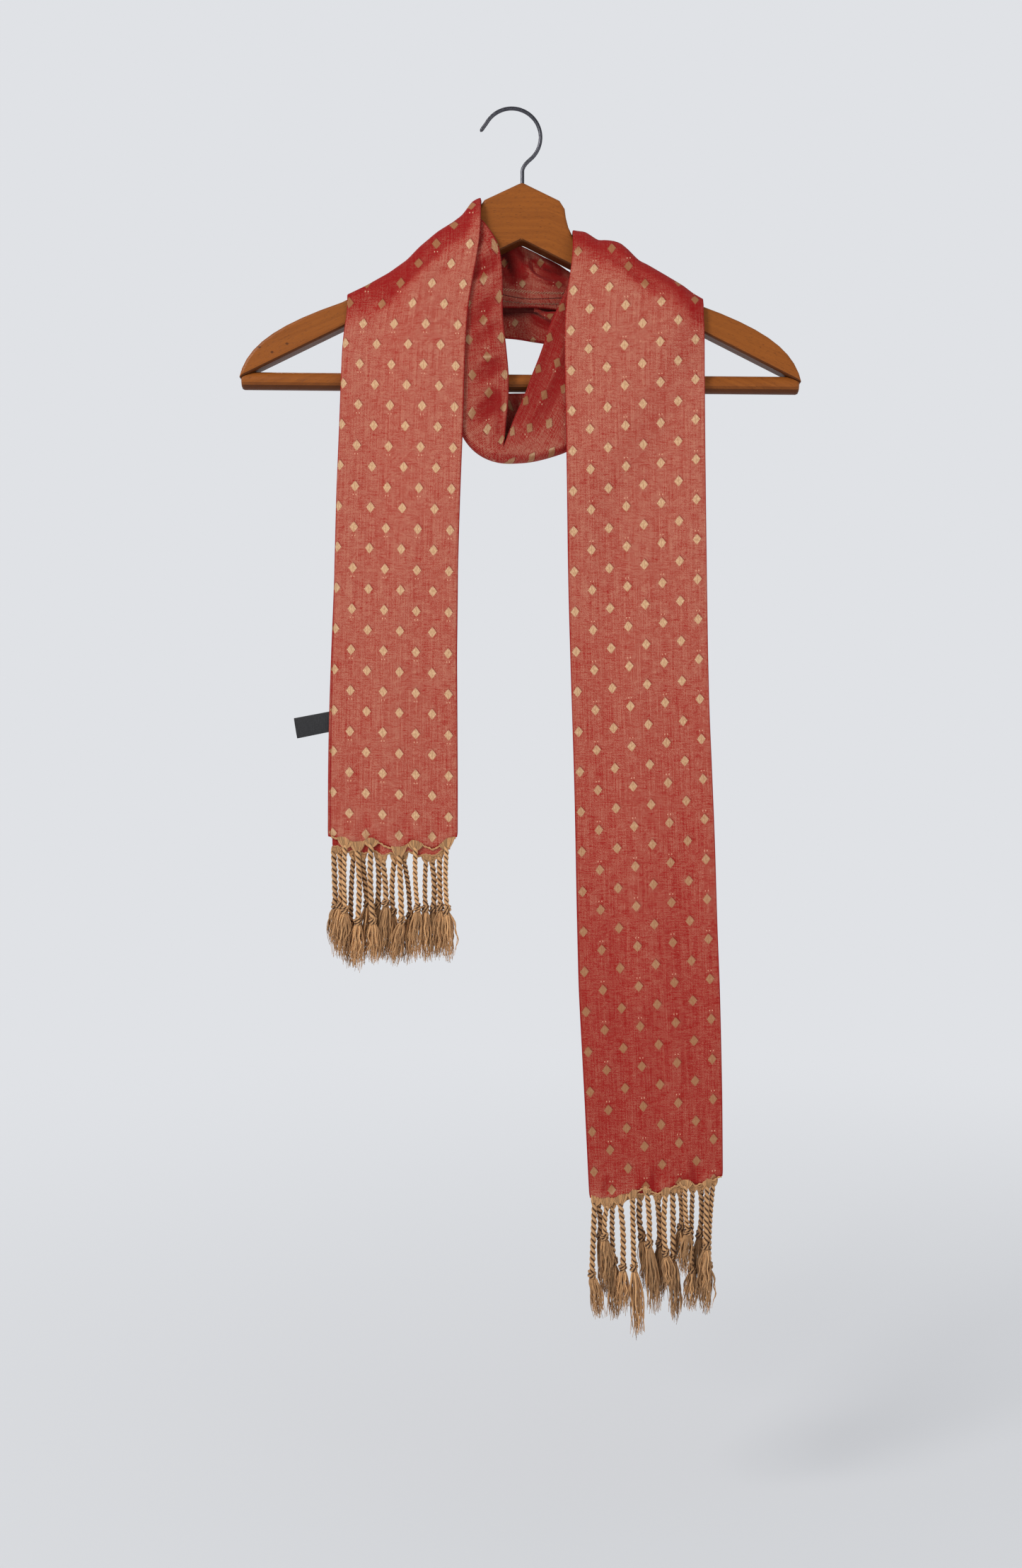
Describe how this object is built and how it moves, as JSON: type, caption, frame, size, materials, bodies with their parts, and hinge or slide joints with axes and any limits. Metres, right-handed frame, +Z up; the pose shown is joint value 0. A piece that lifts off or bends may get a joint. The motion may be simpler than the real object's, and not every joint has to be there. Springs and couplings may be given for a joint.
{
  "type": "cotton scarf on a wooden hanger",
  "caption": "Folded cotton scarf wound once round a wooden hanger, with two tails in front, a loop at the neck and a twisted, knotted fringe at both ends.",
  "frame": {"origin": "inner top of the hook, where the hanger rests on its rail or pin", "axes": "+X to the right as seen from the front, +Y back towards the wall, +Z up"},
  "size_m": [0.4397, 0.0362, 0.9579],
  "materials": {
    "cloth": "matte woven cotton",
    "fringe": "twisted cotton yarn",
    "label": "matte ribbon",
    "wood": "satin lacquer",
    "hook": "dark satin wire"
  },
  "bodies": {
    "root": {"tail_left": "cloth", "tail_right": "cloth", "front_loop": "cloth", "wrap_upper": "cloth", "wrap_lower": "cloth", "fringe_left": "fringe", "fringe_right": "fringe", "label": "label", "hanger_yoke": "wood", "hanger_bar": "wood", "hanger_hook": "hook"}
  },
  "joints": []
}
